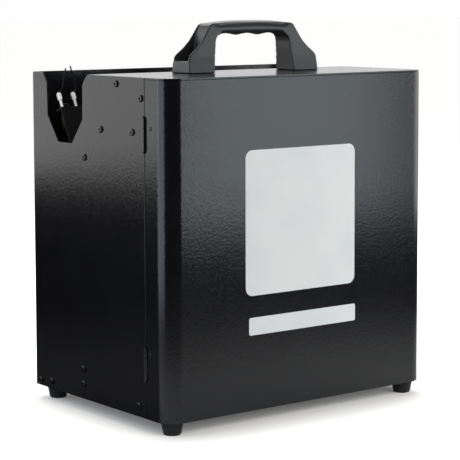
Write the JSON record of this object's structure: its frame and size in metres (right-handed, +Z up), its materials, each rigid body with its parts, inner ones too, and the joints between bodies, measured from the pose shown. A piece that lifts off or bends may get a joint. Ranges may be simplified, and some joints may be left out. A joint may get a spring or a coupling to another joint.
{
  "type": "stage flame machine",
  "caption": "Black steel flame effect machine with a hinged front door, carry handle, can bay and an open rear trough of spark-ignited burner stations.",
  "frame": {"origin": "on the floor under the middle of the case", "axes": "+Z up, the door faces -Y, +X to the right of someone who looks at the door"},
  "size_m": [0.3281, 0.2352, 0.3843],
  "materials": {
    "powder_coat": "fine textured black powder coat",
    "plated_steel": "zinc or nickel plated steel",
    "handle_nylon": "moulded glass-filled nylon, fine spark texture",
    "foot_rubber": "black moulded rubber",
    "brass": "turned brass, heat dulled",
    "dark_steel": "heat-darkened steel",
    "ceramic": "unglazed white alumina",
    "valve_steel": "painted solenoid valve body and coil",
    "lead_silicone": "dark silicone high-voltage lead",
    "copper": "drawn copper pipe",
    "rail_aluminium": "mill-finish aluminium",
    "module_resin": "potted module housing",
    "circuit_board": "green circuit board with a dark display",
    "button_plastic": "grey moulded key caps",
    "black_plastic": "black moulded inlet and rocker"
  },
  "bodies": {
    "case": {"base_tray": "powder_coat", "left_side_panel": "powder_coat", "right_side_panel": "powder_coat", "rear_panel": "powder_coat", "top_plate": "powder_coat", "flame_trough": "powder_coat", "bulkhead": "powder_coat", "lower_hinge_case_leaf": "powder_coat", "upper_hinge_case_leaf": "powder_coat", "lower_hinge_pin": "plated_steel", "upper_hinge_pin": "plated_steel", "signal_in_socket": "plated_steel", "signal_out_socket": "plated_steel", "carry_handle": "handle_nylon", "front_left_foot": "foot_rubber", "front_right_foot": "foot_rubber", "rear_left_foot": "foot_rubber", "rear_right_foot": "foot_rubber", "left_nozzle": "brass", "left_electrode_bracket": "dark_steel", "left_insulator_a": "ceramic", "left_insulator_b": "ceramic", "left_electrode_a": "dark_steel", "left_electrode_b": "dark_steel", "left_solenoid_valve": "valve_steel", "left_ignition_lead": "lead_silicone", "left_gas_pipe": "copper", "centre_nozzle": "brass", "centre_electrode_bracket": "dark_steel", "centre_insulator_a": "ceramic", "centre_insulator_b": "ceramic", "centre_electrode_a": "dark_steel", "centre_electrode_b": "dark_steel", "centre_solenoid_valve": "valve_steel", "centre_ignition_lead": "lead_silicone", "centre_gas_pipe": "copper", "right_nozzle": "brass", "right_electrode_bracket": "dark_steel", "right_insulator_a": "ceramic", "right_insulator_b": "ceramic", "right_electrode_a": "dark_steel", "right_electrode_b": "dark_steel", "right_solenoid_valve": "valve_steel", "right_ignition_lead": "lead_silicone", "right_gas_pipe": "copper", "valve_rail": "rail_aluminium", "ignition_module": "module_resin", "power_supply": "rail_aluminium", "control_board": "circuit_board", "power_inlet": "black_plastic"},
    "door": {"front_door": "powder_coat", "lower_hinge_door_leaf": "powder_coat", "upper_hinge_door_leaf": "powder_coat", "lock_body": "plated_steel"},
    "lock_cam": {"lock_cam": "plated_steel"},
    "mains_rocker": {"mains_rocker": "black_plastic"},
    "menu_button": {"menu_button": "button_plastic"},
    "down_button": {"down_button": "button_plastic"},
    "up_button": {"up_button": "button_plastic"},
    "enter_button": {"enter_button": "button_plastic"}
  },
  "joints": [
    {"name": "door_hinge", "type": "hinge", "parent": "case", "child": "door", "pos_m": [-0.162, -0.081, 0.173], "axis": [0, 0, -1], "range_deg": [0, 110]},
    {"name": "lock_turn", "type": "hinge", "parent": "door", "child": "lock_cam", "pos_m": [0.152, -0.094, 0.173], "axis": [-1, 0, 0], "range_deg": [0, 90]},
    {"name": "rocker_tilt", "type": "hinge", "parent": "case", "child": "mains_rocker", "pos_m": [0.117, 0.1158, 0.061], "axis": [-1, 0, 0], "range_deg": [0, 14]},
    {"name": "menu_button_press", "type": "slide", "parent": "case", "child": "menu_button", "axis": [0, -1, 0], "range_m": [0, 0.0015], "stiffness_N_per_m": 250},
    {"name": "down_button_press", "type": "slide", "parent": "case", "child": "down_button", "axis": [0, -1, 0], "range_m": [0, 0.0015], "stiffness_N_per_m": 250},
    {"name": "up_button_press", "type": "slide", "parent": "case", "child": "up_button", "axis": [0, -1, 0], "range_m": [0, 0.0015], "stiffness_N_per_m": 250},
    {"name": "enter_button_press", "type": "slide", "parent": "case", "child": "enter_button", "axis": [0, -1, 0], "range_m": [0, 0.0015], "stiffness_N_per_m": 250}
  ]
}
